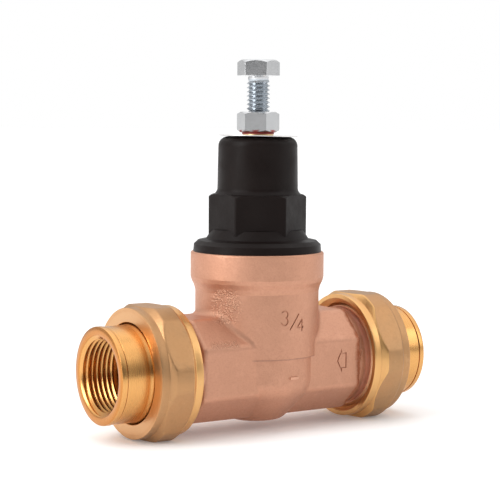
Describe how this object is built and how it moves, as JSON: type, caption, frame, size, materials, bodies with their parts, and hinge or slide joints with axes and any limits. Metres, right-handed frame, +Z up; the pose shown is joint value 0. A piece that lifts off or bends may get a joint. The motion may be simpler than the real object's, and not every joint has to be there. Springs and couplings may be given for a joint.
{
  "type": "water pressure regulator",
  "caption": "Water pressure regulator with a union at each port, a spring cage on a cast body, an inner diaphragm valve, and an adjusting screw with a lock nut.",
  "frame": {"origin": "at the height of the union nuts' lower flats, straight under the point where the pipe axis crosses the spindle axis", "axes": "+X along the pipe out of the inlet port, +Z up the spindle axis to the adjusting screw"},
  "size_m": [0.1234, 0.047, 0.1258],
  "materials": {
    "cast_bronze": "bead-blasted casting, satin",
    "turned_brass": "turned and polished",
    "nut_brass": "satin, turned bevels brighter",
    "black_nylon": "semi-matt moulded",
    "insert_brass": "turned",
    "label_metal": "thin rolled sheet",
    "red_seal": "matt",
    "zinc_steel": "bright zinc plated",
    "plain_steel": "turned",
    "spring_steel": "wire, ground ends",
    "stainless": "fine machined",
    "white_acetal": "moulded",
    "diaphragm_rubber": "matt, moulded",
    "gasket": "matt"
  },
  "bodies": {
    "root": {"body": "cast_bronze", "spring_cage": "black_nylon", "threaded_insert": "insert_brass", "identification_disc": "label_metal", "slip_ring": "insert_brass", "diaphragm": "diaphragm_rubber", "range_spring": "spring_steel", "cartridge_cage": "white_acetal", "seat_ring": "stainless", "cartridge_o_ring": "diaphragm_rubber", "strainer_screen": "stainless", "inlet_union_gasket": "gasket", "outlet_union_gasket": "gasket"},
    "screw_carriage": {"spring_button": "plain_steel"},
    "screw": {"adjusting_screw": "zinc_steel"},
    "lock_carriage": {"seal_washer": "red_seal"},
    "lock_nut": {"lock_nut": "zinc_steel"},
    "valve": {"valve_stem": "insert_brass", "pressure_plate": "plain_steel", "stem_nut": "plain_steel", "seat_disc": "diaphragm_rubber", "disc_holder": "insert_brass", "disc_nut": "plain_steel"},
    "inlet_tail": {"inlet_tailpiece": "turned_brass"},
    "inlet_nut": {"inlet_union_nut": "nut_brass"},
    "outlet_tail": {"outlet_tailpiece": "turned_brass"},
    "outlet_nut": {"outlet_union_nut": "nut_brass"}
  },
  "joints": [
    {"name": "screw_travel", "type": "slide", "parent": "root", "child": "screw_carriage", "axis": [0, 0, 1], "range_m": [-0.00705, 0.00282], "deforming": ["range_spring"]},
    {"name": "screw_turn", "type": "hinge", "parent": "screw_carriage", "child": "screw", "pos_m": [0, 0, 0.12035], "axis": [0, 0, 1], "range_deg": [-1801, 721]},
    {"name": "lock_nut_travel", "type": "slide", "parent": "root", "child": "lock_carriage", "axis": [0, 0, 1], "range_m": [0, 0.00282]},
    {"name": "lock_nut_turn", "type": "hinge", "parent": "lock_carriage", "child": "lock_nut", "pos_m": [0, 0, 0.10465], "axis": [0, 0, 1], "range_deg": [0, 721]},
    {"name": "valve_lift", "type": "slide", "parent": "root", "child": "valve", "axis": [0, 0, 1], "range_m": [0, 0.0025], "stiffness_N_per_m": 7500, "springref_m": -0.0035, "deforming": ["diaphragm"]},
    {"name": "inlet_tail_travel", "type": "slide", "parent": "root", "child": "inlet_tail", "axis": [1, 0, 0], "range_m": [0, 0.008]},
    {"name": "inlet_nut_turn", "type": "hinge", "parent": "inlet_tail", "child": "inlet_nut", "pos_m": [0.0437, 0, 0.02205], "axis": [1, 0, 0], "range_deg": [0, 1441]},
    {"name": "outlet_tail_travel", "type": "slide", "parent": "root", "child": "outlet_tail", "axis": [-1, 0, 0], "range_m": [0, 0.008]},
    {"name": "outlet_nut_turn", "type": "hinge", "parent": "outlet_tail", "child": "outlet_nut", "pos_m": [-0.0426, 0, 0.02205], "axis": [-1, 0, 0], "range_deg": [0, 1441]}
  ],
  "couplings": [
    {"joint": "screw_turn", "follows": "screw_travel", "rad_per_m": 4453},
    {"joint": "lock_nut_turn", "follows": "lock_nut_travel", "rad_per_m": 4453},
    {"joint": "inlet_nut_turn", "follows": "inlet_tail_travel", "rad_per_m": 3141.6},
    {"joint": "outlet_nut_turn", "follows": "outlet_tail_travel", "rad_per_m": 3141.6}
  ]
}
